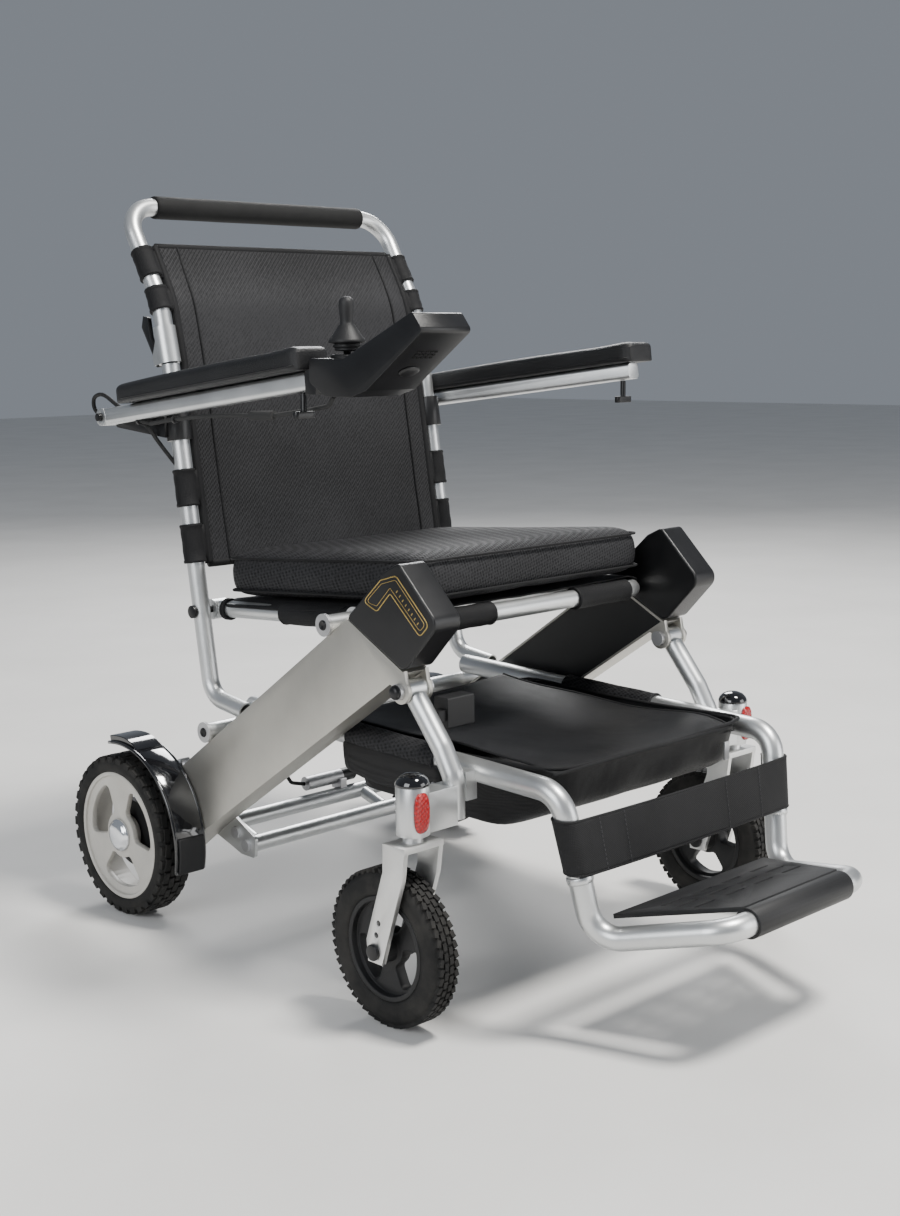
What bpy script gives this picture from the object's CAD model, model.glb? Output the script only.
from math import atan2, cos, hypot, pi, radians, sin

import bmesh
import bpy
from mathutils import Matrix, Vector


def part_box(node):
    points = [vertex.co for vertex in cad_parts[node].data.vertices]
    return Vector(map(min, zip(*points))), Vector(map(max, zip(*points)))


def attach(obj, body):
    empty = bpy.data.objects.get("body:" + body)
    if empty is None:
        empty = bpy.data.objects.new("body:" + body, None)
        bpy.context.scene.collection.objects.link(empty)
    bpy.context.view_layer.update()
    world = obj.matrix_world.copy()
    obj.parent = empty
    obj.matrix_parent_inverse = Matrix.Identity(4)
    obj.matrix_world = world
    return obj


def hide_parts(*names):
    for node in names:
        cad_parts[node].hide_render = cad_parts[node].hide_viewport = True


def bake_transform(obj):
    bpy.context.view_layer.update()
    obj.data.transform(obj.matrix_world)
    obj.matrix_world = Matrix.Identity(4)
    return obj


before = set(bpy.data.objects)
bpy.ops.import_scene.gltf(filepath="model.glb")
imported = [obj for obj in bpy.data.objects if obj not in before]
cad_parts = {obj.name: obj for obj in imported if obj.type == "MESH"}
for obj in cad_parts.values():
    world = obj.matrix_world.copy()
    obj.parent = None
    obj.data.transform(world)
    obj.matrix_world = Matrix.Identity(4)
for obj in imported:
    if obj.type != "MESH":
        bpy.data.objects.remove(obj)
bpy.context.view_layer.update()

MM = 0.001
SIDES = {"right": -1, "left": 1}

# ---- places, from the frame -------------------------------------------------------------------

wheel_low, wheel_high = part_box("rear_tyre_left")
axle_y = (wheel_low[1] + wheel_high[1]) / 2


def at(x, f, z):
    """The point x across, f ahead of the rear axle and z up, all in mm."""
    return Vector((x * MM, axle_y - f * MM, z * MM))


def node_middle(node):
    low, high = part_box(node)
    return (Vector(low) + Vector(high)) / 2


# ---- camera -----------------------------------------------------------------------------------

camera_data = bpy.data.cameras.new("camera")
camera_data.lens = 48.73
camera_data.sensor_width = 36.0
camera_data.sensor_fit = "AUTO"
camera_data.clip_start = 0.05
camera = bpy.data.objects.new("camera", camera_data)
bpy.context.collection.objects.link(camera)
ahead = Vector((0.6829, 0.7133, -0.1575)).normalized()
level = ahead.cross(Vector((0, 0, 1))).normalized()
tilt = -0.0136
right = level * cos(tilt) + level.cross(ahead) * sin(tilt)
above = right.cross(ahead)
turn = Matrix((right, above, -ahead)).transposed()
camera.matrix_world = Matrix.Translation(Vector((-1.3994, axle_y - 1.7841, 0.7244))) @ turn.to_4x4()
bpy.context.scene.camera = camera


# ---- materials --------------------------------------------------------------------------------

def start_material(name):
    material = bpy.data.materials.new(name)
    material.use_nodes = True
    nodes = material.node_tree.nodes
    links = material.node_tree.links
    return material, nodes, links, nodes["Principled BSDF"]


def object_coordinates(nodes, links, stretch=(1, 1, 1), turned=(0, 0, 0)):
    place = nodes.new("ShaderNodeTexCoord")
    mapping = nodes.new("ShaderNodeMapping")
    mapping.inputs["Scale"].default_value = stretch
    mapping.inputs["Rotation"].default_value = turned
    links.new(place.outputs["Object"], mapping.inputs["Vector"])
    return mapping.outputs["Vector"]


def noise(nodes, links, vector, scale, detail=4.0, rough=0.55):
    texture = nodes.new("ShaderNodeTexNoise")
    texture.inputs["Scale"].default_value = scale
    texture.inputs["Detail"].default_value = detail
    texture.inputs["Roughness"].default_value = rough
    links.new(vector, texture.inputs["Vector"])
    return texture.outputs["Fac"]


def cells(nodes, links, vector, scale, randomness=1.0):
    texture = nodes.new("ShaderNodeTexVoronoi")
    texture.inputs["Scale"].default_value = scale
    texture.inputs["Randomness"].default_value = randomness
    links.new(vector, texture.inputs["Vector"])
    return texture.outputs["Distance"]


def waves(nodes, links, vector, period, direction, distortion=0.0):
    texture = nodes.new("ShaderNodeTexWave")
    texture.bands_direction = direction
    texture.inputs["Scale"].default_value = 2 * pi / (20 * period)
    texture.inputs["Distortion"].default_value = distortion
    texture.inputs["Detail"].default_value = 0.0
    links.new(vector, texture.inputs["Vector"])
    return texture.outputs["Fac"]


def two_tone(nodes, links, factor, dark, light, start=0.3, stop=0.7):
    ramp = nodes.new("ShaderNodeValToRGB")
    ramp.color_ramp.elements[0].position = start
    ramp.color_ramp.elements[0].color = (*dark, 1)
    ramp.color_ramp.elements[1].position = stop
    ramp.color_ramp.elements[1].color = (*light, 1)
    links.new(factor, ramp.inputs["Fac"])
    return ramp.outputs["Color"]


def between(nodes, links, factor, low, high):
    span = nodes.new("ShaderNodeMapRange")
    span.inputs["To Min"].default_value = low
    span.inputs["To Max"].default_value = high
    links.new(factor, span.inputs["Value"])
    return span.outputs["Result"]


def combine(nodes, links, kind, first, second):
    maths = nodes.new("ShaderNodeMath")
    maths.operation = kind
    for socket, value in zip(maths.inputs, (first, second)):
        if isinstance(value, (int, float)):
            socket.default_value = value
        else:
            links.new(value, socket)
    return maths.outputs["Value"]


def raise_surface(nodes, links, shader, height, depth, strength=1.0):
    bump = nodes.new("ShaderNodeBump")
    bump.inputs["Distance"].default_value = depth
    bump.inputs["Strength"].default_value = strength
    links.new(height, bump.inputs["Height"])
    links.new(bump.outputs["Normal"], shader.inputs["Normal"])


def metal(name, dark, light, rough_low, rough_high, grain=900.0, depth=0.00003, brushed=(1, 1, 1)):
    """Painted or brushed aluminium: fine flake, slow clouding and small handling marks."""
    material, nodes, links, shader = start_material(name)
    vector = object_coordinates(nodes, links, brushed)
    cloud = noise(nodes, links, vector, 9.0, 5.0, 0.6)
    fine = noise(nodes, links, vector, grain, 2.0)
    links.new(two_tone(nodes, links, cloud, dark, light, 0.35, 0.65), shader.inputs["Base Color"])
    both = combine(nodes, links, "MULTIPLY_ADD", cloud, 0.7)
    links.new(between(nodes, links, both, rough_low, rough_high), shader.inputs["Roughness"])
    shader.inputs["Metallic"].default_value = 0.92
    raise_surface(nodes, links, shader, fine, depth)
    return material


def plastic(name, dark, light, rough_low, rough_high, grain=1400.0, depth=0.00006, coat=0.0):
    """Moulded plastic with a fine cast texture and faint scuffs."""
    material, nodes, links, shader = start_material(name)
    vector = object_coordinates(nodes, links)
    cloud = noise(nodes, links, vector, 14.0, 6.0, 0.62)
    fine = cells(nodes, links, vector, grain)
    links.new(two_tone(nodes, links, cloud, dark, light), shader.inputs["Base Color"])
    links.new(between(nodes, links, cloud, rough_low, rough_high), shader.inputs["Roughness"])
    shader.inputs["Coat Weight"].default_value = coat
    shader.inputs["Specular IOR Level"].default_value = 0.4
    shader.inputs["Coat Roughness"].default_value = 0.06
    raise_surface(nodes, links, shader, fine, depth)
    return material


def rubber(name, dark, light, grain=500.0, depth=0.00015):
    material, nodes, links, shader = start_material(name)
    vector = object_coordinates(nodes, links)
    dust = noise(nodes, links, vector, 22.0, 8.0, 0.7)
    fine = noise(nodes, links, vector, grain, 3.0)
    links.new(two_tone(nodes, links, dust, dark, light, 0.4, 0.75), shader.inputs["Base Color"])
    links.new(between(nodes, links, dust, 0.62, 0.86), shader.inputs["Roughness"])
    shader.inputs["Specular IOR Level"].default_value = 0.3
    raise_surface(nodes, links, shader, fine, depth)
    return material


def mesh_cloth(name, turned, stretch):
    """Black spacer mesh: slanted rows of open cells between slightly shiny threads."""
    material, nodes, links, shader = start_material(name)
    laid = object_coordinates(nodes, links, stretch, turned)
    holes = cells(nodes, links, laid, 340.0, 0.2)
    yarn = noise(nodes, links, laid, 900.0, 2.0)
    cloud = noise(nodes, links, object_coordinates(nodes, links), 6.0, 3.0)
    height = combine(nodes, links, "ADD", holes, combine(nodes, links, "MULTIPLY", yarn, 0.25))
    shade = combine(nodes, links, "MULTIPLY", height, combine(nodes, links, "ADD", cloud, 0.5))
    links.new(two_tone(nodes, links, shade, (0.0012, 0.0012, 0.0014), (0.024, 0.024, 0.026), 0.16, 0.74),
              shader.inputs["Base Color"])
    links.new(between(nodes, links, height, 0.95, 0.5), shader.inputs["Roughness"])
    shader.inputs["Specular IOR Level"].default_value = 0.22
    raise_surface(nodes, links, shader, height, 0.0009)
    return material


def woven(name, period, dark, light, wrinkle=0.0, sheen=0.02, rough=(0.5, 0.75)):
    """Plain woven nylon, with the long soft creases of cloth that has been folded."""
    material, nodes, links, shader = start_material(name)
    vector = object_coordinates(nodes, links)
    across = waves(nodes, links, vector, period, "X")
    down = waves(nodes, links, vector, period, "DIAGONAL")
    weave = combine(nodes, links, "MULTIPLY", across, down)
    cloud = noise(nodes, links, vector, 11.0, 6.0, 0.6)
    crease = noise(nodes, links, object_coordinates(nodes, links, (1.0, 0.45, 1.0), (0, 0, 0.5)), 26.0, 2.0)
    links.new(two_tone(nodes, links, cloud, dark, light), shader.inputs["Base Color"])
    links.new(between(nodes, links, cloud, *rough), shader.inputs["Roughness"])
    shader.inputs["Sheen Weight"].default_value = sheen
    shader.inputs["Specular IOR Level"].default_value = 0.22
    height = combine(nodes, links, "ADD", combine(nodes, links, "MULTIPLY", weave, 0.12),
                     combine(nodes, links, "MULTIPLY", crease, wrinkle))
    raise_surface(nodes, links, shader, height, 0.002)
    return material


def prismatic(name):
    material, nodes, links, shader = start_material(name)
    vector = object_coordinates(nodes, links, (1, 1, 1), (0, 0.6, 0))
    facets = cells(nodes, links, vector, 260.0, 0.1)
    links.new(two_tone(nodes, links, facets, (0.50, 0.001, 0.003), (0.12, 0.0, 0.001), 0.1, 0.8),
              shader.inputs["Base Color"])
    links.new(between(nodes, links, facets, 0.12, 0.3), shader.inputs["Roughness"])
    shader.inputs["Coat Weight"].default_value = 0.4
    shader.inputs["Emission Color"].default_value = (0.6, 0.01, 0.01, 1)
    shader.inputs["Emission Strength"].default_value = 0.02
    raise_surface(nodes, links, shader, facets, 0.0012)
    return material


beam_paint = metal("beam_paint", (0.50, 0.485, 0.445), (0.57, 0.555, 0.51), 0.36, 0.50, 1500.0)
tube_silver = metal("tube_silver", (0.60, 0.61, 0.61), (0.72, 0.73, 0.73), 0.24, 0.40, 1100.0)
fork_silver = metal("fork_silver", (0.66, 0.66, 0.65), (0.78, 0.78, 0.77), 0.30, 0.46, 1300.0)
zinc = metal("zinc_steel", (0.40, 0.40, 0.41), (0.62, 0.62, 0.63), 0.25, 0.45, 700.0, 0.00004)
chrome = metal("chrome_cap", (0.78, 0.80, 0.83), (0.88, 0.89, 0.91), 0.06, 0.18, 300.0, 0.00001)
satin_black = plastic("satin_black", (0.004, 0.004, 0.0045), (0.010, 0.010, 0.011), 0.28, 0.42)
matte_black = plastic("matte_black", (0.005, 0.005, 0.0055), (0.014, 0.014, 0.015), 0.45, 0.62, 900.0,
                      0.00012)
gloss_black = plastic("gloss_black", (0.003, 0.003, 0.004), (0.008, 0.008, 0.009), 0.06, 0.16, 300.0,
                      0.00001, 1.0)
rim_grey = plastic("rim_grey", (0.47, 0.45, 0.41), (0.55, 0.53, 0.49), 0.34, 0.48, 1200.0, 0.00003)
foam_black = rubber("foam_black", (0.004, 0.004, 0.004), (0.013, 0.013, 0.013), 1400.0, 0.0003)
tyre_rubber = rubber("tyre_rubber", (0.007, 0.007, 0.007), (0.036, 0.034, 0.031))
sheath = rubber("cable_sheath", (0.008, 0.008, 0.008), (0.03, 0.03, 0.03), 900.0, 0.00005)
leather = plastic("pad_leather", (0.004, 0.004, 0.0045), (0.010, 0.010, 0.011), 0.34, 0.48, 1000.0, 0.00035)
seat_mesh = mesh_cloth("seat_mesh", (0.3, 0.2, 0.7), (1.0, 0.62, 0.8))
back_mesh = mesh_cloth("back_mesh", (0, 0.5, 0), (1.0, 0.04, 0.6))
edge_cloth = woven("edge_cloth", 0.0011, (0.003, 0.003, 0.0035), (0.011, 0.011, 0.012), 0.1)
webbing = woven("webbing", 0.0014, (0.004, 0.004, 0.0045), (0.015, 0.015, 0.016), 0.2)
nylon = woven("bag_nylon", 0.0009, (0.003, 0.003, 0.0035), (0.010, 0.010, 0.011), 1.3, 0.03, (0.34, 0.58))
thread = woven("thread", 0.0008, (0.03, 0.03, 0.032), (0.07, 0.07, 0.075))
red_lens = prismatic("red_lens")
gold = metal("gold_line", (0.50, 0.36, 0.12), (0.62, 0.46, 0.18), 0.3, 0.45)


# ---- mesh helpers -----------------------------------------------------------------------------

def link(name, mesh, material=None, smooth=True):
    piece = bpy.data.objects.new(name, mesh)
    bpy.context.collection.objects.link(piece)
    if material is not None:
        mesh.materials.clear()
        mesh.materials.append(material)
    if smooth:
        for polygon in mesh.polygons:
            polygon.use_smooth = True
    return piece


def from_lists(name, points, faces, material, smooth=True):
    mesh = bpy.data.meshes.new(name)
    mesh.from_pydata([tuple(p) for p in points], [], faces)
    tidy_mesh(mesh)
    return link(name, mesh, material, smooth)


def tidy_mesh(mesh):
    """Merge doubles and point every face outwards."""
    work = bmesh.new()
    work.from_mesh(mesh)
    bmesh.ops.remove_doubles(work, verts=work.verts, dist=0.00001)
    bmesh.ops.recalc_face_normals(work, faces=work.faces)
    work.to_mesh(mesh)
    work.free()
    mesh.update()


def freeze(piece):
    """Apply the live modifiers and keep a plain mesh."""
    bpy.context.view_layer.update()
    graph = bpy.context.evaluated_depsgraph_get()
    mesh = bpy.data.meshes.new_from_object(piece.evaluated_get(graph))
    piece.modifiers.clear()
    piece.data = mesh
    return piece


def round_edges(piece, width, segments=3, angle=35):
    modifier = piece.modifiers.new("edge", "BEVEL")
    modifier.width = width
    modifier.segments = segments
    modifier.limit_method = "ANGLE"
    modifier.angle_limit = radians(angle)
    modifier.harden_normals = True
    return freeze(piece)


def subdivide(piece, levels):
    modifier = piece.modifiers.new("smooth", "SUBSURF")
    modifier.levels = levels
    modifier.render_levels = levels
    return freeze(piece)


def join(name, pieces):
    """One mesh from several, keeping their materials."""
    work = bmesh.new()
    materials = []
    for piece in pieces:
        start = len(work.faces)
        work.from_mesh(piece.data)
        work.faces.ensure_lookup_table()
        slots = []
        for material in piece.data.materials:
            if material not in materials:
                materials.append(material)
            slots.append(materials.index(material))
        for face in work.faces[start:]:
            face.material_index = slots[face.material_index] if slots else 0
    mesh = bpy.data.meshes.new(name)
    work.to_mesh(mesh)
    work.free()
    for piece in pieces:
        bpy.data.objects.remove(piece)
    joined = bpy.data.objects.new(name, mesh)
    bpy.context.collection.objects.link(joined)
    for material in materials:
        mesh.materials.append(material)
    return joined


def lathe(name, profile, centre, axis, material, steps=96):
    """Turn a profile of (radius, distance along the axis) in mm about an axis through centre."""
    axis = Vector(axis).normalized()
    first = axis.orthogonal().normalized()
    second = axis.cross(first)
    points, faces = [], []
    for step in range(steps):
        angle = 2 * pi * step / steps
        spoke = first * cos(angle) + second * sin(angle)
        points += [centre + spoke * r * MM + axis * h * MM for r, h in profile]
    count = len(profile)
    for step in range(steps):
        here, there = step * count, ((step + 1) % steps) * count
        for k in range(count):
            after = (k + 1) % count
            faces.append((here + k, there + k, there + after, here + after))
    return from_lists(name, points, faces, material)


def prism(name, outline, x_low, x_high, material, edge=1.0):
    """A side-view outline (f, z) carried from x_low to x_high, with rounded edges."""
    count = len(outline)
    points = [at(x_low, f, z) for f, z in outline] + [at(x_high, f, z) for f, z in outline]
    faces = [tuple(range(count)), tuple(range(2 * count - 1, count - 1, -1))]
    for k in range(count):
        after = (k + 1) % count
        faces.append((k, after, count + after, count + k))
    piece = from_lists(name, points, faces, material)
    return round_edges(piece, edge * MM) if edge else piece


def rounded(outline, radii, steps=6):
    """Round the corners of an outline of (f, z) points with arcs."""
    result = []
    count = len(outline)
    for k, (corner, radius) in enumerate(zip(outline, radii)):
        here = Vector(corner)
        back = (Vector(outline[k - 1]) - here)
        on = (Vector(outline[(k + 1) % count]) - here)
        if radius <= 0:
            result.append(tuple(here))
            continue
        half = back.angle(on) / 2
        cut = min(radius / max(0.05, abs(sin(half) / cos(half))), back.length * 0.49, on.length * 0.49)
        start, stop = here + back.normalized() * cut, here + on.normalized() * cut
        for step in range(steps + 1):
            t = step / steps
            point = start * (1 - t) ** 2 + here * 2 * t * (1 - t) + stop * t ** 2
            result.append(tuple(point))
    return result


def tube(name, route, radius, material, order=3, resolution=10, sides=5):
    """A round cable or tube along smooth route points."""
    curve = bpy.data.curves.new(name, "CURVE")
    curve.dimensions = "3D"
    curve.bevel_depth = radius * MM
    curve.bevel_resolution = sides
    curve.use_fill_caps = True
    spline = curve.splines.new("NURBS")
    spline.points.add(len(route) - 1)
    for point, place in zip(spline.points, route):
        point.co = (*place, 1)
    spline.order_u = order
    spline.use_endpoint_u = True
    spline.resolution_u = resolution
    holder = bpy.data.objects.new(name, curve)
    bpy.context.collection.objects.link(holder)
    bpy.context.view_layer.update()
    mesh = bpy.data.meshes.new_from_object(holder.evaluated_get(bpy.context.evaluated_depsgraph_get()))
    bpy.data.objects.remove(holder)
    return link(name, mesh, material)


def softened(node, name, material, width, angle=30):
    """A copy of a CAD node with merged faces and rounded edges, in its place."""
    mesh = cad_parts[node].data.copy()
    work = bmesh.new()
    work.from_mesh(mesh)
    bmesh.ops.remove_doubles(work, verts=work.verts, dist=0.00002)
    bmesh.ops.dissolve_limit(work, angle_limit=radians(1.0), verts=work.verts, edges=work.edges)
    work.to_mesh(mesh)
    work.free()
    mesh.update()
    piece = link(name, mesh, material)
    round_edges(piece, width * MM, 2, angle)
    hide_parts(node)
    return piece


# ---- geometry nodes ---------------------------------------------------------------------------

def ring_tree():
    """Blocks set round a ring: named inputs for ring size, count, block size, shift and turn."""
    tree = bpy.data.node_groups.new("blocks_round_a_ring", "GeometryNodeTree")
    face = tree.interface
    face.new_socket("Geometry", in_out="OUTPUT", socket_type="NodeSocketGeometry")
    wanted = (("Ring Radius", "NodeSocketFloat"), ("Count", "NodeSocketInt"), ("Block", "NodeSocketVector"),
              ("Shift", "NodeSocketFloat"), ("Turn", "NodeSocketFloat"), ("Skew", "NodeSocketFloat"),
              ("Material", "NodeSocketMaterial"))
    for label, kind in wanted:
        face.new_socket(label, in_out="INPUT", socket_type=kind)
    nodes, links = tree.nodes, tree.links
    source = nodes.new("NodeGroupInput")
    sink = nodes.new("NodeGroupOutput")
    circle = nodes.new("GeometryNodeMeshCircle")
    links.new(source.outputs["Count"], circle.inputs["Vertices"])
    links.new(source.outputs["Ring Radius"], circle.inputs["Radius"])
    block = nodes.new("GeometryNodeMeshCube")
    links.new(source.outputs["Block"], block.inputs["Size"])
    index = nodes.new("GeometryNodeInputIndex")
    share = nodes.new("ShaderNodeMath")
    share.operation = "DIVIDE"
    links.new(index.outputs[0], share.inputs[0])
    links.new(source.outputs["Count"], share.inputs[1])
    angle = nodes.new("ShaderNodeMath")
    angle.operation = "MULTIPLY"
    links.new(share.outputs[0], angle.inputs[0])
    angle.inputs[1].default_value = 2 * pi
    spin = nodes.new("ShaderNodeCombineXYZ")
    links.new(source.outputs["Skew"], spin.inputs["X"])
    links.new(angle.outputs[0], spin.inputs["Z"])
    copies = nodes.new("GeometryNodeInstanceOnPoints")
    links.new(circle.outputs["Mesh"], copies.inputs["Points"])
    links.new(block.outputs["Mesh"], copies.inputs["Instance"])
    links.new(spin.outputs[0], copies.inputs["Rotation"])
    lift = nodes.new("ShaderNodeCombineXYZ")
    links.new(source.outputs["Shift"], lift.inputs["Z"])
    whole = nodes.new("ShaderNodeCombineXYZ")
    links.new(source.outputs["Turn"], whole.inputs["Z"])
    move = nodes.new("GeometryNodeTransform")
    links.new(copies.outputs["Instances"], move.inputs["Geometry"])
    links.new(lift.outputs[0], move.inputs["Translation"])
    links.new(whole.outputs[0], move.inputs["Rotation"])
    real = nodes.new("GeometryNodeRealizeInstances")
    links.new(move.outputs["Geometry"], real.inputs["Geometry"])
    paint = nodes.new("GeometryNodeSetMaterial")
    links.new(real.outputs["Geometry"], paint.inputs["Geometry"])
    links.new(source.outputs["Material"], paint.inputs["Material"])
    links.new(paint.outputs["Geometry"], sink.inputs["Geometry"])
    return tree


def row_tree():
    """Small bars set along a straight row: named inputs for start, step, count and bar size."""
    tree = bpy.data.node_groups.new("bars_along_a_row", "GeometryNodeTree")
    face = tree.interface
    face.new_socket("Geometry", in_out="OUTPUT", socket_type="NodeSocketGeometry")
    wanted = (("Start", "NodeSocketVector"), ("Step", "NodeSocketVector"), ("Count", "NodeSocketInt"),
              ("Bar", "NodeSocketVector"), ("Rotation", "NodeSocketVector"),
              ("Material", "NodeSocketMaterial"))
    for label, kind in wanted:
        face.new_socket(label, in_out="INPUT", socket_type=kind)
    nodes, links = tree.nodes, tree.links
    source = nodes.new("NodeGroupInput")
    sink = nodes.new("NodeGroupOutput")
    line = nodes.new("GeometryNodeMeshLine")
    links.new(source.outputs["Count"], line.inputs["Count"])
    links.new(source.outputs["Start"], line.inputs["Start Location"])
    links.new(source.outputs["Step"], line.inputs["Offset"])
    bar = nodes.new("GeometryNodeMeshCube")
    links.new(source.outputs["Bar"], bar.inputs["Size"])
    copies = nodes.new("GeometryNodeInstanceOnPoints")
    links.new(line.outputs["Mesh"], copies.inputs["Points"])
    links.new(bar.outputs["Mesh"], copies.inputs["Instance"])
    links.new(source.outputs["Rotation"], copies.inputs["Rotation"])
    real = nodes.new("GeometryNodeRealizeInstances")
    links.new(copies.outputs["Instances"], real.inputs["Geometry"])
    paint = nodes.new("GeometryNodeSetMaterial")
    links.new(real.outputs["Geometry"], paint.inputs["Geometry"])
    links.new(source.outputs["Material"], paint.inputs["Material"])
    links.new(paint.outputs["Geometry"], sink.inputs["Geometry"])
    return tree


blocks_round_a_ring = ring_tree()
bars_along_a_row = row_tree()


def grown(name, tree, settings):
    """Run a node tree with its named inputs set, and keep the plain mesh."""
    holder = bpy.data.objects.new(name, bpy.data.meshes.new(name))
    bpy.context.collection.objects.link(holder)
    modifier = holder.modifiers.new("pattern", "NODES")
    modifier.node_group = tree
    sockets = {item.name: item.identifier for item in tree.interface.items_tree if item.in_out == "INPUT"}
    for label, value in settings.items():
        modifier[sockets[label]] = value
    freeze(holder)
    return holder


def tread(name, centre, sign, radius, rows, count, block, material):
    """Tread blocks in rows round a tyre whose axis is X."""
    pieces = []
    for k, (shift, turned, skew) in enumerate(rows):
        piece = grown(f"{name}_{k}", blocks_round_a_ring, {
            "Ring Radius": radius * MM, "Count": count, "Block": tuple(s * MM for s in block),
            "Shift": shift * MM, "Turn": turned * 2 * pi / count, "Skew": skew, "Material": material,
        })
        piece.data.transform(Matrix.Translation(centre) @ Matrix.Rotation(sign * pi / 2, 4, "Y"))
        pieces.append(piece)
    return pieces


def stitches(name, start, stop, pitch, bar, material):
    """A straight run of thread stitches."""
    line = stop - start
    count = max(2, int(line.length / (pitch * MM)))
    turned = line.to_track_quat("X", "Z").to_euler()
    return grown(name, bars_along_a_row, {
        "Start": start, "Step": line / (count - 1), "Count": count,
        "Bar": tuple(s * MM for s in bar), "Rotation": tuple(turned), "Material": material,
    })


# ---- wheels -----------------------------------------------------------------------------------

def mirrored(profile):
    return profile + [(r, -h) for r, h in reversed(profile)]


for name, sign in SIDES.items():
    middle = node_middle(f"rear_tyre_{name}")
    out = (sign, 0, 0)
    body = f"rear_wheel_{name}"
    casing = lathe(f"rear_casing_{name}", mirrored([(82.6, 20), (86, 22.4), (93, 23), (98, 21), (100.6, 17),
                                                    (101.4, 8)]),
                   middle, out, tyre_rubber, 120)
    lugs = tread(f"rear_lug_{name}", middle, sign, 101.2,
                 ((-13.5, 0, 0.12), (-4.6, 0.5, -0.12), (4.6, 0, 0.12), (13.5, 0.5, -0.12)),
                 34, (6.6, 15.6, 7.6), tyre_rubber)
    shoulder = tread(f"rear_shoulder_{name}", middle, sign, 97.6, ((-19.5, 0, 0), (19.5, 0.5, 0)), 34,
                     (9.0, 11.0, 5.0), tyre_rubber)
    tyre = join(f"rear_tyre_detail_{name}", [casing] + lugs + shoulder)
    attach(tyre, body)
    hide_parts(f"rear_tyre_{name}")
    rim = softened(f"rear_rim_{name}", f"rear_rim_face_{name}", rim_grey, 1.8)
    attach(rim, body)
    hub_profile = [(0, 8.6), (9, 8.4), (15, 7.4), (18, 5.4), (18.6, 4.4), (20.4, 4.0), (21.4, 2.0),
                   (21.4, 0.0), (0, 0)]
    cap = lathe(f"hub_cap_dome_{name}", hub_profile, Vector((sign * 0.2873, middle.y, middle.z)), out,
                chrome, 72)
    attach(cap, body)
    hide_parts(f"hub_cap_{name}")

    middle = node_middle(f"caster_tyre_{name}")
    body = f"caster_wheel_{name}"
    casing = lathe(f"caster_casing_{name}", mirrored([(57.8, 14), (62, 16.4), (70, 17), (78, 16),
                                                      (82.5, 13.2), (84.6, 8), (85.2, 3)]),
                   middle, out, tyre_rubber, 120)
    lugs = tread(f"caster_lug_{name}", middle, sign, 84.6,
                 ((-10.6, 0, 0.3), (-3.6, 0.5, 0.0), (3.6, 0, 0.0), (10.6, 0.5, -0.3)),
                 52, (5.0, 7.6, 5.2), tyre_rubber)
    tyre = join(f"caster_tyre_detail_{name}", [casing] + lugs)
    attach(tyre, body)
    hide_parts(f"caster_tyre_{name}")
    rim = softened(f"caster_rim_{name}", f"caster_rim_face_{name}", matte_black, 1.2)
    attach(rim, body)

# ---- seat cushion ------------------------------------------------------------------------------

def swell(piece, voxel, reach, pressure=4.0):
    """Fill a closed cloth form with air, and keep each point within reach of where it began."""
    remesh = piece.modifiers.new("grain", "REMESH")
    remesh.mode = "VOXEL"
    remesh.voxel_size = voxel * MM
    freeze(piece)
    began = [v.co.copy() for v in piece.data.vertices]
    cloth = piece.modifiers.new("air", "CLOTH")
    cloth.settings.use_pressure = True
    cloth.settings.uniform_pressure_force = pressure
    cloth.settings.effector_weights.gravity = 0.0
    cloth.settings.quality = 4
    cloth.point_cache.frame_start = 1
    cloth.point_cache.frame_end = 20
    for step in range(1, 21):
        bpy.context.scene.frame_set(step)
    freeze(piece)
    for vertex, home in zip(piece.data.vertices, began):
        moved = vertex.co - home
        if moved.length > reach * MM:
            vertex.co = home + moved.normalized() * reach * MM
    bpy.context.scene.frame_set(1)
    subdivide(piece, 1)
    for polygon in piece.data.polygons:
        polygon.use_smooth = True
    return piece


seat_rise = atan2(26, 369)
cushion_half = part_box("seat_cushion")[1][0] / MM
cushion_back = (112.0, 417.5)
cushion_length = hypot(369, 26)


def cushion_point(x, along, up):
    """A point of the cushion: x across, along from its rear edge and up from its underside."""
    f = cushion_back[0] + along * cos(seat_rise) - up * sin(seat_rise)
    z = cushion_back[1] + along * sin(seat_rise) + up * cos(seat_rise)
    return at(x, f, z)


def cushion_ring(inset, up, steps=9, radius=26):
    """The cushion's outline at a height, with rounded plan corners."""
    x_out = cushion_half - inset
    corners = ((x_out, inset), (x_out, cushion_length - inset), (-x_out, cushion_length - inset),
               (-x_out, inset))
    plan = rounded(corners, [radius] * 4, steps)
    return [cushion_point(x, along, up) for x, along in plan]


levels = ((15, 1.5), (8.0, 3.0), (5.0, 7.5), (2.6, 15), (1.8, 28), (2.8, 40), (5.2, 47), (9.0, 51.5),
          (19, 54.0))
points, faces = [], []
for inset, up in levels:
    points += cushion_ring(inset, up)
around = len(cushion_ring(5, 0))
for level in range(len(levels) - 1):
    for k in range(around):
        after = (k + 1) % around
        faces.append((level * around + k, level * around + after, (level + 1) * around + after,
                      (level + 1) * around + k))
faces.append(tuple(range(around)))
faces.append(tuple(range(len(points) - 1, len(points) - around - 1, -1)))
cushion = from_lists("cushion_cover", points, faces, seat_mesh)
swell(cushion, 6.0, 3.5)
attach(cushion, "seat")
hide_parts("seat_cushion")

for label, inset, up in (("top", 4.6, 47.6), ("bottom", 4.4, 7.6)):
    route = cushion_ring(inset, up, 9, 26)
    piping = tube(f"cushion_piping_{label}", route + route[:1], 1.6, edge_cloth, 3, 4, 3)
    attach(piping, "seat")

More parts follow.
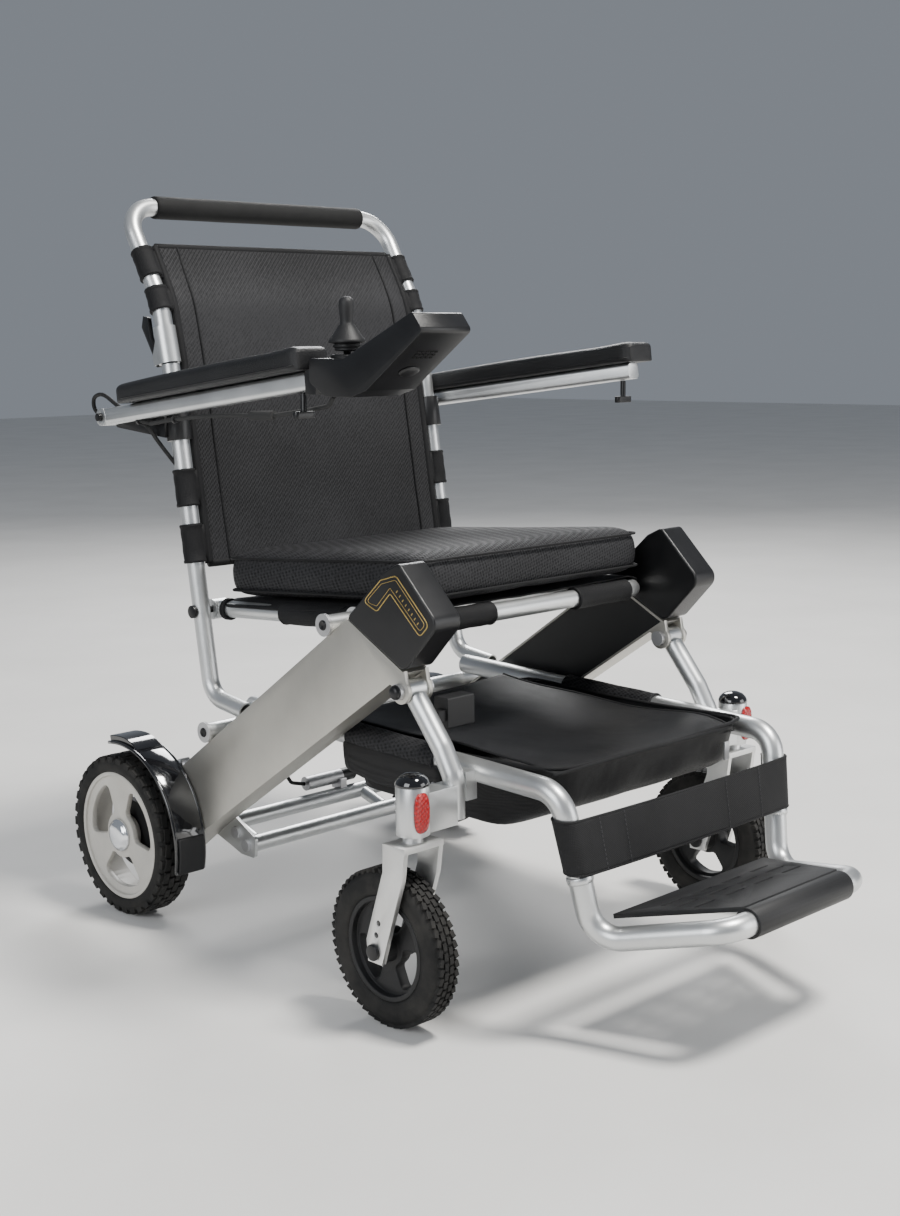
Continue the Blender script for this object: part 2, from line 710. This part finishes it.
# ---- plain CAD nodes: finishes ------------------------------------------------------------------

FINISH = {
    "cross_tubes": tube_silver, "lower_ladder_frame": tube_silver, "frame_bolts": zinc,
    "rear_brackets": tube_silver,
    "motor_housings": matte_black, "lock_barrel": zinc, "lock_cable": sheath, "lock_knob": satin_black,
    "leg_tubes": tube_silver, "footrest_frame": tube_silver, "battery_packs": matte_black,
    "beam_inner_covers": satin_black, "seat_frame": tube_silver, "lower_posts": tube_silver,
    "push_handle_frame": tube_silver, "stick_gimbal": zinc, "junction_box": matte_black,
    "power_button": satin_black,
}
for node, material in FINISH.items():
    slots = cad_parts[node].data.materials
    slots.clear()
    slots.append(material)

SOFTENED = (
    ("side_beams", "beam_shells", beam_paint, 1.6, "base", "beam_paint"),
    ("beam_end_caps", "beam_cap_shells", satin_black, 4.0, "base", "cap_black"),
    ("fenders", "fender_shells", gloss_black, 1.2, "base", "fender_black"),
    ("footplate", "footplate_shell", matte_black, 0.8, "leg_frame", "plate_black"),
    ("caster_housings", "caster_barrels", tube_silver, 1.5, "leg_frame", "tube_silver"),
    ("controller_case", "controller_shell", satin_black, 2.0, "arm_right", "controller_black"),
    ("post_fittings", "post_brackets", satin_black, 1.2, "back_lower", "cap_black"),
)
for node, name, material, width, body, slot in SOFTENED:
    piece = softened(node, name, material, width)
    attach(piece, body)
for name in SIDES:
    for node, label, material, width, body, slot in (
        (f"caster_fork_{name}", f"fork_{name}", fork_silver, 1.0, f"caster_{name}", "tube_silver"),
        (f"caster_axle_{name}", f"axle_caps_{name}", satin_black, 1.2, f"caster_{name}", "cap_black"),
        (f"arm_tube_{name}", f"arm_rail_{name}", tube_silver, 0.8, f"arm_{name}", "tube_silver"),
        (f"back_lever_{name}", f"fold_lever_{name}", satin_black, 1.4, f"back_lever_{name}", "cap_black"),
        (f"clamp_knob_{name}", f"tee_knob_{name}", satin_black, 1.2, f"clamp_knob_{name}", "cap_black"),
        (f"freewheel_lever_{name}", f"freewheel_tab_{name}", zinc, 0.8, f"freewheel_lever_{name}",
         "bolt_steel"),
    ):
        piece = softened(node, label, material, width)
        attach(piece, body)

# ---- cloth and cables: shared forms --------------------------------------------------------------

def curve_through(points, steps=6, closed=False):
    """Points of a smooth line through the given ones."""
    count = len(points)
    spans = count if closed else count - 1
    result = []
    for k in range(spans):
        here, there = points[k], points[(k + 1) % count]
        before = points[k - 1] if closed or k else here
        after = points[(k + 2) % count] if closed or k + 2 < count else there
        for step in range(steps):
            t = step / steps
            bend = (2 * before - 5 * here + 4 * there - after) * t ** 2
            twist = (3 * here - before - 3 * there + after) * t ** 3
            result.append(0.5 * (2 * here + (there - before) * t + bend + twist))
    return result if closed else result + [points[-1]]


def sweep(name, route, radii, material, sides=14, closed=False):
    """A round section along the route; radii is one radius in mm, or one for each point."""
    count = len(route)
    if isinstance(radii, (int, float)):
        radii = [radii] * count
    points, faces = [], []
    spoke = None
    for k in range(count):
        before = route[k - 1] if closed or k else route[0]
        after = route[(k + 1) % count] if closed or k + 1 < count else route[-1]
        line = (after - before).normalized()
        spoke = line.orthogonal() if spoke is None else spoke - line * spoke.dot(line)
        spoke.normalize()
        other = line.cross(spoke)
        for side in range(sides):
            angle = 2 * pi * side / sides
            points.append(route[k] + (spoke * cos(angle) + other * sin(angle)) * radii[k] * MM)
    for k in range(count if closed else count - 1):
        there = (k + 1) % count
        for side in range(sides):
            after = (side + 1) % sides
            faces.append((k * sides + side, k * sides + after, there * sides + after, there * sides + side))
    if not closed:
        faces.append(tuple(range(sides)))
        faces.append(tuple(range(count * sides - 1, (count - 1) * sides - 1, -1)))
    return from_lists(name, points, faces, material)


def cloth(name, rows, thick, material, smooth=0, offset=0.0):
    """A sheet of cloth through rows of points, with its real thickness in mm."""
    wide = len(rows[0])
    faces = [(r * wide + k, r * wide + k + 1, (r + 1) * wide + k + 1, (r + 1) * wide + k)
             for r in range(len(rows) - 1) for k in range(wide - 1)]
    piece = from_lists(name, [p for row in rows for p in row], faces, material)
    if smooth:
        subdivide(piece, smooth)
    thicken = piece.modifiers.new("thickness", "SOLIDIFY")
    thicken.thickness = thick * MM
    thicken.offset = offset
    freeze(piece)
    for polygon in piece.data.polygons:
        polygon.use_smooth = True
    return piece


def wrap(name, body, start, end, radius, material=None):
    """A cloth sleeve round a straight tube, with turned hems that stand a little proud."""
    line = end - start
    length = line.length / MM
    profile = [(radius - 2.4, 0.4), (radius + 0.1, 0.0), (radius + 0.9, 1.4), (radius + 0.7, 3.4),
               (radius, 4.6),
               (radius + 0.5, length * 0.32), (radius - 0.1, length * 0.55), (radius + 0.4, length * 0.78),
               (radius, length - 4.6), (radius + 0.7, length - 3.4), (radius + 0.9, length - 1.4),
               (radius + 0.1, length), (radius - 2.4, length - 0.4)]
    piece = lathe(name, profile, start, line, material or edge_cloth, 40)
    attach(piece, body)
    return piece


def on_body(piece, body):
    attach(piece, body)
    return piece


# ---- backrest --------------------------------------------------------------------------------------

POST_LEAN = (112.0 - 48.0) / (706.0 - 293.0)
post_x = 214.0


def post_f(z):
    """How far ahead of the rear axle the back posts stand at a height."""
    if z <= 706:
        return 48.0 + (706.0 - z) * POST_LEAN
    if z <= 785:
        return 48.0 - 18.0 * (z - 706) / 79
    return 30.0 - 68.0 * (z - 785) / 119


def back_line(z):
    """The post line with its bends eased, as the cloth takes them."""
    span = 14.0
    return (post_f(z - span) + 2 * post_f(z) + post_f(z + span)) / 4


panel_half = 196.0
heights = [458, 462, 470] + [470 + 13 * k for k in range(1, 28)] + [834, 842, 848, 851.5]
rows = []
for z in heights:
    row = []
    for k in range(41):
        across = -1 + 2 * k / 40
        hollow = 9.0 * (1 - across ** 2) * sin(pi * min(1, max(0, (z - 430) / 450)))
        pull = 1.4 * sin(across * 7.0 + z * 0.021) * sin(z * 0.05) * (1 - across ** 4)
        edge = 2.0 * max(0, abs(across) - 0.93) / 0.07
        shrink = 1 - 0.012 * max(0, (z - 820) / 32)
        row.append(at(panel_half * across * shrink, back_line(z) + 4.5 - hollow + pull * 0.6 - edge, z))
    rows.append(row)
back_panel = cloth("back_cloth", rows, 8.0, back_mesh, 1)
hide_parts("back_panel_lower", "back_panel_upper")
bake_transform(back_panel)

for name, sign in SIDES.items():
    edge_points = [at(sign * (panel_half + 0.5), back_line(z) + 4.6, z) for z in heights]
    border = sweep(f"back_border_{name}", edge_points, 5.4, edge_cloth, 12)
    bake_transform(border)
    seam_points = [row[3 if sign < 0 else -4] + Vector((0, -0.0049, 0)) for row in rows]
    seam = sweep(f"back_seam_{name}", curve_through(seam_points, 2), 1.3, edge_cloth, 8)
    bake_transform(seam)
for label, row, body in (("top", rows[-1], "back_upper"), ("low", rows[0], "back_lower")):
    hem = sweep(f"back_hem_{label}", row, 5.2, edge_cloth, 12)
    on_body(hem, body)

SLEEVES = (("back_lower", 460.0, 508.0), ("back_lower", 530.0, 576.0), ("back_upper", 771.0, 800.0),
           ("back_upper", 812.0, 847.0))
for name, sign in SIDES.items():
    for number, (body, low, high) in enumerate(SLEEVES):
        start, end = at(sign * post_x, post_f(low), low), at(sign * post_x, post_f(high), high)
        if number == 2:
            end = at(sign * post_x, 21.8, 799.6)
        wrap(f"post_sleeve_{name}_{number}", body, start, end, 13.6)
        tab = []
        for k in range(7):
            x = sign * (panel_half - 3 + k * 3.4)
            lift = 4.2 + 5.0 * sin(pi * k / 6) * 0.5
            tab.append([at(x, post_f(z) + lift, z) for z in (low + 1, (low + high) / 2, high - 1)])
        on_body(cloth(f"sleeve_tab_{name}_{number}", tab, 4.5, edge_cloth, 1), body)

# ---- push handle grip --------------------------------------------------------------------------------

grip_profile = [(11.2, -172), (12.6, -172.2), (14.0, -171.2), (14.5, -168.5), (14.3, -120), (14.45, -60),
                (14.25, 0),
                (14.45, 60), (14.3, 120), (14.5, 168.5), (14.0, 171.2), (12.6, 172.2), (11.2, 172)]
grip = lathe("foam_grip", grip_profile, at(0, -38, 904), (1, 0, 0), foam_black, 48)
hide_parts("handle_grip")
on_body(grip, "back_upper")

# ---- armrest pads ----------------------------------------------------------------------------------

def arm_x(f):
    return 247.0 + 21.0 * (f + 47.0) / 440.0


def arm_z(f):
    return 640.0 + 49.0 * (f + 47.0) / 440.0


def rounded_section(half, tall, top_round, low_round, steps=5):
    """A closed pad section as (across, up) pairs."""
    corners = ((-half, 0, low_round, 180), (half, 0, low_round, 270), (half, tall, top_round, 0),
               (-half, tall, top_round, 90))
    section = []
    for x, y, radius, start in corners:
        cx = x - radius if x > 0 else x + radius
        cy = y + radius if y == 0 else y - radius
        for step in range(steps + 1):
            angle = radians(start + 90 * step / steps)
            section.append((cx + radius * cos(angle), cy + radius * sin(angle)))
    return section


for name, sign in SIDES.items():
    points, faces = [], []
    stations = [22, 22.8, 25, 30, 40] + [40 + 20 * k for k in range(1, 17)] + [374, 386, 394, 399.5, 403,
                                                                               404.6]
    for f in stations:
        from_end = min(f - 22, 404.6 - f)
        ease = min(1.0, from_end / 14.0)
        trim = (1 - (1 - ease) ** 2.4) ** 0.5 if from_end > 0 else 0.42
        trim = max(0.42, trim)
        crown = 2.2 * sin(pi * (f - 22) / 382) + (3.0 * max(0, (f - 350) / 54) if f < 398 else 2.4)
        section = rounded_section(26 * (0.62 + 0.38 * trim), (23.5 + crown) * (0.72 + 0.28 * trim),
                                  9.0 * trim, 4.5 * trim)
        for across, up in section:
            points.append(at(sign * (arm_x(f) + 5) + across, f - (up + 10.8) * 0.11, arm_z(f) + 10.8 + up))
    ring = len(section)
    for r in range(len(stations) - 1):
        for k in range(ring):
            after = (k + 1) % ring
            faces.append((r * ring + k, r * ring + after, (r + 1) * ring + after, (r + 1) * ring + k))
    faces.append(tuple(range(ring)))
    faces.append(tuple(range(len(points) - 1, len(points) - ring - 1, -1)))
    pad = subdivide(from_lists(f"arm_pad_cover_{name}", points, faces, leather), 1)
    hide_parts(f"arm_pad_{name}")
    on_body(pad, f"arm_{name}")
    seam_route = []
    for turned in (1, -1):
        span = range(28, 400, 12) if turned > 0 else range(399, 27, -12)
        seam_route += [at(sign * (arm_x(f) + 5) + turned * 26.1, f - 1.6, arm_z(f) + 16.0) for f in span]
    seam = sweep(f"pad_seam_{name}", curve_through(seam_route, 1, True), 0.7, leather, 6, True)
    on_body(seam, f"arm_{name}")

# ---- under-seat bag ----------------------------------------------------------------------------------

bag_half = 171.0


def bag_ring(level, count_side=12, count_end=12):
    """A ring of the bag's wall: level 0 is the rim and 1 the floor's edge."""
    rear = 293 + 26 * level
    low_rear = 284 - 80 * level
    front = 649.5 - 8 * level if level < 0.62 else 644.5 - 84 * (level - 0.62) / 0.38
    low_front = 284 - 80 * level if level < 0.62 else 234.4 - 34 * (level - 0.62) / 0.38
    half = bag_half - 16 * level ** 1.5
    ring = []
    for k in range(count_side):
        t = k / count_side
        ring.append((-half, rear + (front - rear) * t, low_rear + (low_front - low_rear) * t))
    for k in range(count_end):
        ring.append((-half + 2 * half * k / count_end, front, low_front))
    for k in range(count_side):
        t = 1 - k / count_side
        ring.append((half, rear + (front - rear) * t, low_rear + (low_front - low_rear) * t))
    for k in range(count_end):
        ring.append((half - 2 * half * k / count_end, rear, low_rear))
    rounded_ring = []
    for k, (x, f, z) in enumerate(ring):
        before, after = ring[k - 1], ring[(k + 1) % len(ring)]
        mean = [(before[i] + 2 * (x, f, z)[i] + after[i]) / 4 for i in range(3)]
        slack = sin(pi * min(1, level)) * 4.5
        fold = slack * sin(k * 1.7 + level * 5) * 0.45
        inward = Vector((-mean[0], (470 - mean[1]), 0))
        inward.normalize()
        sag = 5.0 * (1 - level) * sin(pi * (k % count_side) / count_side)
        rounded_ring.append(at(mean[0] + inward.x * (slack + fold), mean[1] + inward.y * (slack + fold),
                               mean[2] - sag))
    return rounded_ring


rings = [bag_ring(level) for level in (0, 0.07, 0.16, 0.3, 0.46, 0.62, 0.74, 0.86, 0.96, 1.0)]
points = [p for ring in rings for p in ring]
around = len(rings[0])
faces = []
for r in range(len(rings) - 1):
    for k in range(around):
        after = (k + 1) % around
        faces.append((r * around + k, (r + 1) * around + k, (r + 1) * around + after, r * around + after))
shrinks = (0.8, 0.5, 0.2)
last = rings[-1]
middle_point = sum(last, Vector()) / around
start = (len(rings) - 1) * around
for step, share in enumerate(shrinks):
    for k, point in enumerate(last):
        place = middle_point + (point - middle_point) * share
        place.z += MM * (1.2 * sin(k * 1.3 + step * 2) + 1.0)
        points.append(place)
    base = (len(rings) + step) * around
    below = base - around
    for k in range(around):
        after = (k + 1) % around
        faces.append((below + k, base + k, base + after, below + after))
points.append(middle_point)
base = (len(rings) + len(shrinks) - 1) * around
faces += [(base + k, len(points) - 1, base + (k + 1) % around) for k in range(around)]
bag = from_lists("bag_body", points, faces, nylon)
subdivide(bag, 1)
thicken = bag.modifiers.new("thickness", "SOLIDIFY")
thicken.thickness = 2.0 * MM
thicken.offset = -1
freeze(bag)
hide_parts("under_seat_bag")
on_body(bag, "leg_frame")
rim_route = curve_through(rings[0], 2, True)
on_body(sweep("bag_rim_hem", rim_route, 2.6, edge_cloth, 10, True), "leg_frame")

flap_rows = []
for r in range(25):
    along_f = r / 24
    row = []
    for k in range(25):
        across = k / 24
        x = -169 + (286 + 22 * along_f) * across
        f = 300 + 352 * along_f - 8 * (1 - across) * (1 - along_f)
        dip = 15 * sin(pi * min(1, across * 0.92)) * sin(pi * along_f) ** 0.7
        ripple = (2.2 * sin(across * 9 + along_f * 4.0) * sin(pi * along_f)
                  + 1.4 * sin(along_f * 13 + across * 3))
        lift = 9.0 * across ** 3 * (1 - along_f) ** 2
        droop = 9.0 * max(0, (along_f - 0.86) / 0.14) ** 2
        row.append(at(x, f, 288 - dip + ripple + lift - droop))
    flap_rows.append(row)
flap = cloth("bag_flap", flap_rows, 1.8, nylon, 1)
on_body(flap, "leg_frame")
flap_hem_route = [row[-1] for row in flap_rows] + [p for p in reversed(flap_rows[-1])][1:]
flap_hem = sweep("bag_flap_hem", flap_hem_route, 2.1, edge_cloth, 8)
on_body(flap_hem, "leg_frame")
zipper = stitches("bag_zip_teeth", at(-120, 646, 272), at(150, 646, 272), 3.2, (1.9, 1.6, 1.2), satin_black)
on_body(zipper, "leg_frame")
pull = prism("bag_zip_pull", rounded([(648, 262), (650.5, 262), (650.5, 240), (648, 240)], [0.8] * 4, 2),
             128, 137, zinc, 0.4)
on_body(pull, "leg_frame")

for name, sign in SIDES.items():
    rail = [at(sign * 186, f, 283 - 11 * (f - 158) / 402) for f in (352, 500)]
    wrap(f"rail_wrap_{name}", "leg_frame", rail[0], rail[1], 15.2, seat_mesh)
    skirt = []
    for r in range(9):
        f = 348 + 164 * r / 8
        deep = 26 + 16 * sin(pi * (0.2 + 0.8 * r / 8))
        skirt.append([at(sign * (199.4 - 3.5 * (k / 5) ** 2), f,
                         279 - 11 * (f - 158) / 402 - deep * k / 5) for k in range(6)])
    on_body(cloth(f"bag_skirt_{name}", skirt, 1.8, nylon, 1), "leg_frame")
    snap = lathe(f"bag_snap_{name}", [(0, 2.2), (2.6, 2.0), (4.2, 1.2), (5.0, 0), (0, 0)],
                 at(sign * 198.6, 500, 246),
                 (sign, 0, 0), zinc, 24)
    on_body(snap, "leg_frame")

# ---- calf strap ------------------------------------------------------------------------------------

def drop_tube(t):
    """The footrest tube's centre behind the strap, from its top edge at 0 to its lower edge at 1."""
    z = 241 - 56 * t
    share = (268 - z) / 157
    return 185 - 22 * share, 676 + 27 * share, z


strap_rows = []
for r in range(9):
    x_tube, f_tube, z = drop_tube(r / 8)
    wrap_r = 14.9
    row = []
    for k in range(13):
        angle = radians(-80 - 190 * k / 12)
        row.append(at(-x_tube + wrap_r * cos(angle), f_tube + wrap_r * sin(angle), z))
    half_span = x_tube
    for k in range(1, 24):
        across = -1 + 2 * k / 24
        slack = 1 - across ** 2
        row.append(at(half_span * across, f_tube + wrap_r - 4.5 * slack, z - 4.0 * slack))
    for k in range(13):
        angle = radians(90 - 190 * k / 12)
        row.append(at(x_tube + wrap_r * cos(angle), f_tube + wrap_r * sin(angle), z))
    strap_rows.append(row)
strap = cloth("calf_strap_web", strap_rows, 2.4, webbing, 1)
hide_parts("calf_strap")
on_body(strap, "leg_frame")
for number, x in enumerate((-147, -106, 72, 132)):
    share = 1 - (x / 178) ** 2
    f_front = 15.0 + 1.3 - 4.5 * share
    x_low, f_low, z_low = drop_tube(0.97)
    x_high, f_high, z_high = drop_tube(0.03)
    run = stitches(f"strap_stitch_{number}", at(x, f_high + f_front, z_high - 4 * share),
                   at(x * 0.975, f_low + f_front, z_low - 4 * share), 4.2, (2.6, 0.9, 0.9), thread)
    on_body(run, "leg_frame")
for edge_number, t in enumerate((0.0, 1.0)):
    index = 0 if t == 0 else 8
    lip = sweep(f"strap_edge_{edge_number}", strap_rows[index], 1.6, webbing, 8)
    on_body(lip, "leg_frame")

# ---- seat sling and the sleeves of the seat frame ----------------------------------------------------

sling_rows = []
for r in range(17):
    t = r / 16
    f = 118 + 346 * t
    if f < 344:
        z_line = 415.4 + 17.0 * (f - 122) / 222
    else:
        z_line = 432.0 + 5.3 * (f - 344) / 118
    row = []
    for k in range(25):
        across = -1 + 2 * k / 24
        sag = 9.0 * (1 - across ** 2) * sin(pi * (0.12 + 0.76 * t))
        over = max(0, abs(across) - 0.93) / 0.07
        row.append(at(199 * across, f, z_line - sag - 9 * over ** 2 + 0.6 * sin(k * 1.9 + r)))
    sling_rows.append(row)
sling = cloth("seat_sling_cloth", sling_rows, 1.6, edge_cloth, 1, -1.0)
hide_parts("seat_sling")
on_body(sling, "seat")
for name, sign in SIDES.items():
    for number, (f_low, f_high) in enumerate(((113, 122), (232, 346))):
        z_low, z_high = (400 + 16 * (f - 97) / 272 for f in (f_low, f_high))
        wrap(f"seat_rail_sleeve_{name}_{number}", "seat", at(sign * 187, f_low, z_low),
             at(sign * 187, f_high, z_high), 13.0)
for number, (x_low, x_high) in enumerate(((-160, -78), (64, 160))):
    wrap(f"seat_front_sleeve_{number}", "seat", at(x_low, 470, 421), at(x_high, 470, 421), 13.0)

# ---- controller ------------------------------------------------------------------------------------

stick_foot = at(-256, 438, 708)
stick = lathe("joystick_knob", [(0, 69), (3.6, 68.6), (6.6, 66.8), (8.0, 63.5), (8.2, 58), (7.6, 50),
                                (6.9, 43), (7.2, 41),
                                (12, 34), (18.8, 24.5), (19.9, 22.5), (19.6, 20.8), (14.6, 20.0),
                                (13.6, 19.0), (15.4, 17.6), (15.0, 16.2),
                                (12.4, 15.2), (13.6, 13.8), (13.2, 12.6), (4, 11.6), (3.4, 2), (0, 2)],
              stick_foot, (0, 0, 1), matte_black, 48)
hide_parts("joystick")
on_body(stick, "joystick")
boot = lathe("joystick_boot", [(17.0, 2.0), (21.0, 2.0), (21.0, 3.6), (18.4, 4.6), (17.0, 5.4), (18.0, 6.6),
                               (17.4, 7.8),
                               (15.8, 8.4), (15.0, 8.8), (14.2, 8.0), (15.0, 6.4)],
             stick_foot, (0, 0, 1), matte_black, 48)
on_body(boot, "arm_right")

under_start, under_end = at(-256, 506, 680), at(-256, 592, 739)
under_line = (under_end - under_start).normalized()
under_out = under_line.cross(Vector((1, 0, 0))).normalized()
if under_out.z > 0:
    under_out = -under_out
for row_number in range(3):
    start = under_start + under_line * (0.058 + 0.005 * row_number) + Vector((-0.012, 0,
                                                                              0)) + under_out * 0.0001
    slots = grown(f"speaker_slots_{row_number}", bars_along_a_row, {
        "Start": start, "Step": Vector((0.006, 0, 0)), "Count": 5, "Bar": (0.0036, 0.0022, 0.0012),
        "Rotation": tuple(under_line.to_track_quat("Y", "Z").to_euler()), "Material": foam_black})
    on_body(slots, "arm_right")
port_place = under_start + under_line * 0.034
port = lathe("port_cover", [(0, 3.4), (6.4, 3.0), (8.6, 1.4), (9.0, 0), (0, 0)],
             port_place, under_out,
             satin_black, 40)
port.data.transform(Matrix.Translation(port_place) @ Matrix.Scale(1.5, 4, (1, 0, 0))
                    @ Matrix.Translation(-port_place))
on_body(port, "arm_right")

# ---- controller cable at the rear pivot --------------------------------------------------------------

loop = [(-251, 55, 634), (-251, 20, 640), (-251, -18, 655), (-250, -52, 668), (-248, -76, 664),
        (-246, -80, 650),
        (-246, -62, 641), (-247, -30, 645), (-247, 5, 640), (-243, 34, 630), (-236, 46, 612),
        (-228, 57, 594), (-217, 67, 574)]
cable = sweep("controller_cable_loop", curve_through([at(*p) for p in loop], 8), 2.6, sheath, 12)
on_body(cable, "back_lower")
for number, (f, z) in enumerate(((30, 637.5), (108, 640.5))):
    body = "back_lower" if number == 0 else "arm_right"
    band = lathe(f"cable_tie_{number}", [(3.0, -1.8), (5.2, -1.8), (5.2, 1.8), (3.0, 1.8)],
                 at(-250.6, f, z), (0, 1, 0), satin_black, 20)
    on_body(band, body)

# ---- reflectors --------------------------------------------------------------------------------------

front_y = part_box("reflectors")[0][1]
for name, sign in SIDES.items():
    middle = Vector((sign * 0.281, front_y + 0.0035, 0.246))
    section = []
    for k in range(40):
        angle = 2 * pi * k / 40
        x, z = cos(angle), sin(angle)
        section.append((10.5 * abs(x) ** 0.6 * (1 if x > 0 else -1),
                        21.5 * abs(z) ** 0.85 * (1 if z > 0 else -1)))
    points, faces = [], []
    for depth, share in ((0, 1.0), (1.6, 1.0), (2.8, 0.93), (3.5, 0.8), (3.7, 0.4)):
        points += [middle + Vector((x * share * MM, -depth * MM, z * share * MM)) for x, z in section]
    for r in range(4):
        for k in range(40):
            faces.append((r * 40 + k, r * 40 + (k + 1) % 40, (r + 1) * 40 + (k + 1) % 40, (r + 1) * 40 + k))
    faces += [tuple(range(40)), tuple(range(199, 159, -1))]
    lens = from_lists(f"reflector_lens_{name}", points, faces, red_lens)
    if sign < 0:
        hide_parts("reflectors")
    on_body(lens, "leg_frame")

# ---- trim of the beam caps -----------------------------------------------------------------------------

cap_face = 240.3             # the gold trim lies on the beam caps' outer side
trim = rounded([(437, 450), (466, 476), (491, 483), (541, 435), (527, 421), (481, 463), (459, 441)],
               [5, 5, 7, 6, 6, 3, 6], 5)
inner_trim = rounded([(441, 450), (467, 472), (490, 478.5), (535, 435), (527, 427), (481, 469), (459, 447)],
                     [4, 4, 5, 4, 4, 2, 4], 5)
for name, sign in SIDES.items():
    for label, outline, width in (("outer", trim, 0.75), ("inner", inner_trim, 0.4)):
        line = sweep(f"cap_line_{label}_{name}", [at(sign * cap_face, f, z) for f, z in outline], width, gold,
                     6, True)
        on_body(line, "base")
    dashes = stitches(f"cap_dashes_{name}", at(sign * cap_face, 492, 466), at(sign * cap_face, 524, 435), 5.0,
                      (1.2, 0.5, 3.4), gold)
    on_body(dashes, "base")

# ---- fender edges --------------------------------------------------------------------------------------

def on_arc(x, radius, angle):
    """A point round the rear wheel's axle: angle 0 is straight ahead and 90 straight up."""
    return at(x, radius * cos(radians(angle)), 105 + radius * sin(radians(angle)))


for name, sign in SIDES.items():
    for label, x, radius, width in (("outer", 283.0, 120.6, 2.4), ("inner", 241.5, 120.6, 2.4)):
        route = [on_arc(sign * x, radius, -13 + 114 * k / 30) for k in range(31)]
        lip = sweep(f"fender_lip_{label}_{name}", route, width, gloss_black, 10)
        on_body(lip, "base")
    for label, start, stop, rise, material in (("ledge", 70, 101, 8.5, gloss_black),
                                               ("block", -13.5, 8, 5.0, matte_black)):
        outline = []
        for k in range(9):
            t = k / 8
            point = on_arc(0, 121.0 + rise * (sin(pi * min(1.0,
                                                           t * 1.6 + 0.08) / 2) if label == "ledge" else 1.0),
                           start + (stop - start) * t)
            outline.append(((axle_y - point.y) / MM, point.z / MM))
        for k in range(9):
            point = on_arc(0, 120.0, stop + (start - stop) * k / 8)
            outline.append(((axle_y - point.y) / MM, point.z / MM))
        raised = prism(f"fender_{label}_{name}", outline, *sorted((sign * 243, sign * 281)), material, 2.0)
        on_body(raised, "base")

# ---- caps over the pivots and the swivels -----------------------------------------------------------------

bolts_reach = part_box("frame_bolts")[1].x / MM
plug_step = 2.0              # the end plugs stop short of the pivots' caps
for name, sign in SIDES.items():
    dome = [(0, 6.0), (4.0, 5.6), (6.8, 4.0), (8.0, 1.6), (8.2, 0), (0, 0)]
    pivot_cap = lathe(f"leg_pivot_cap_{name}", dome, at(sign * bolts_reach, 492, 357), (sign, 0, 0),
                      satin_black, 36)
    on_body(pivot_cap, "base")
    for number, (f, z) in enumerate(((369, 416), (130.5, 254))):
        socket = lathe(f"plug_socket_{name}_{number}", [(0, 0.7), (3.6, 0.7), (4.2, 1.4), (5.4, 1.4),
                                                        (6.0, 0.4), (6.0, 0), (0, 0)],
                       at(sign * (bolts_reach - plug_step), f, z), (sign, 0, 0), satin_black, 24)
        on_body(socket, "base")
    swivel_cap = lathe(f"swivel_cap_{name}", [(0, 13.5), (7, 12.9), (12.6, 10.6), (16.4, 6.8), (18.2, 3.0),
                                              (18.6, 0.6), (18.0, 0), (0, 0)],
                       at(sign * 277, 551, 272), (0, 0, 1), gloss_black, 48)
    on_body(swivel_cap, "leg_frame")
    if sign < 0:
        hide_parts("housing_caps")

# ---- weld collars and screws ---------------------------------------------------------------------------

for name, sign in SIDES.items():
    x, f, z = drop_tube(1.12)
    line = at(sign * 163, 703, 111) - at(sign * 185, 676, 268)
    collar = lathe(f"footrest_collar_{name}", [(12.0, -4), (13.4, -4), (14.4, -2.6), (14.6, 1.5), (14.0, 4),
                                               (12.0, 4)],
                   at(sign * x, f, z), line, tube_silver, 40)
    on_body(collar, "leg_frame")

# ---- floor and light ------------------------------------------------------------------------------

bpy.ops.mesh.primitive_plane_add(size=30, location=(0, 0, 0))
floor = bpy.context.active_object
floor.name = "studio_floor"
floor_material, nodes, links, shader = start_material("pale_floor")
grain = noise(nodes, links, object_coordinates(nodes, links), 3.0, 6.0)
links.new(two_tone(nodes, links, grain, (0.70, 0.69, 0.67), (0.76, 0.75, 0.73)),
          shader.inputs["Base Color"])
shader.inputs["Roughness"].default_value = 0.85
floor.data.materials.append(floor_material)


def soft_light(name, place, aim, size, power, tint=(1, 1, 1)):
    data = bpy.data.lights.new(name, "AREA")
    data.size = size
    data.energy = power
    data.color = tint
    lamp = bpy.data.objects.new(name, data)
    lamp.location = place
    lamp.rotation_euler = (Vector(aim) - Vector(place)).to_track_quat("-Z", "Y").to_euler()
    bpy.context.collection.objects.link(lamp)


soft_light("key", (0.6, -1.6, 4.0), (0, 0, 0.3), 0.8, 260, (1, 0.98, 0.94))
soft_light("fill", (-3.4, -0.6, 1.9), (0, 0, 0.4), 2.0, 74, (0.96, 0.98, 1))
soft_light("rim", (2.4, 2.4, 2.8), (0, 0, 0.5), 1.4, 110)
soft_light("low_front", (1.8, -3.0, 1.0), (0, 0, 0.3), 2.0, 45)
world = bpy.data.worlds.new("studio")
world.use_nodes = True
world.node_tree.nodes["Background"].inputs["Color"].default_value = (0.62, 0.68, 0.77, 1)
world.node_tree.nodes["Background"].inputs["Strength"].default_value = 0.34
bpy.context.scene.world = world
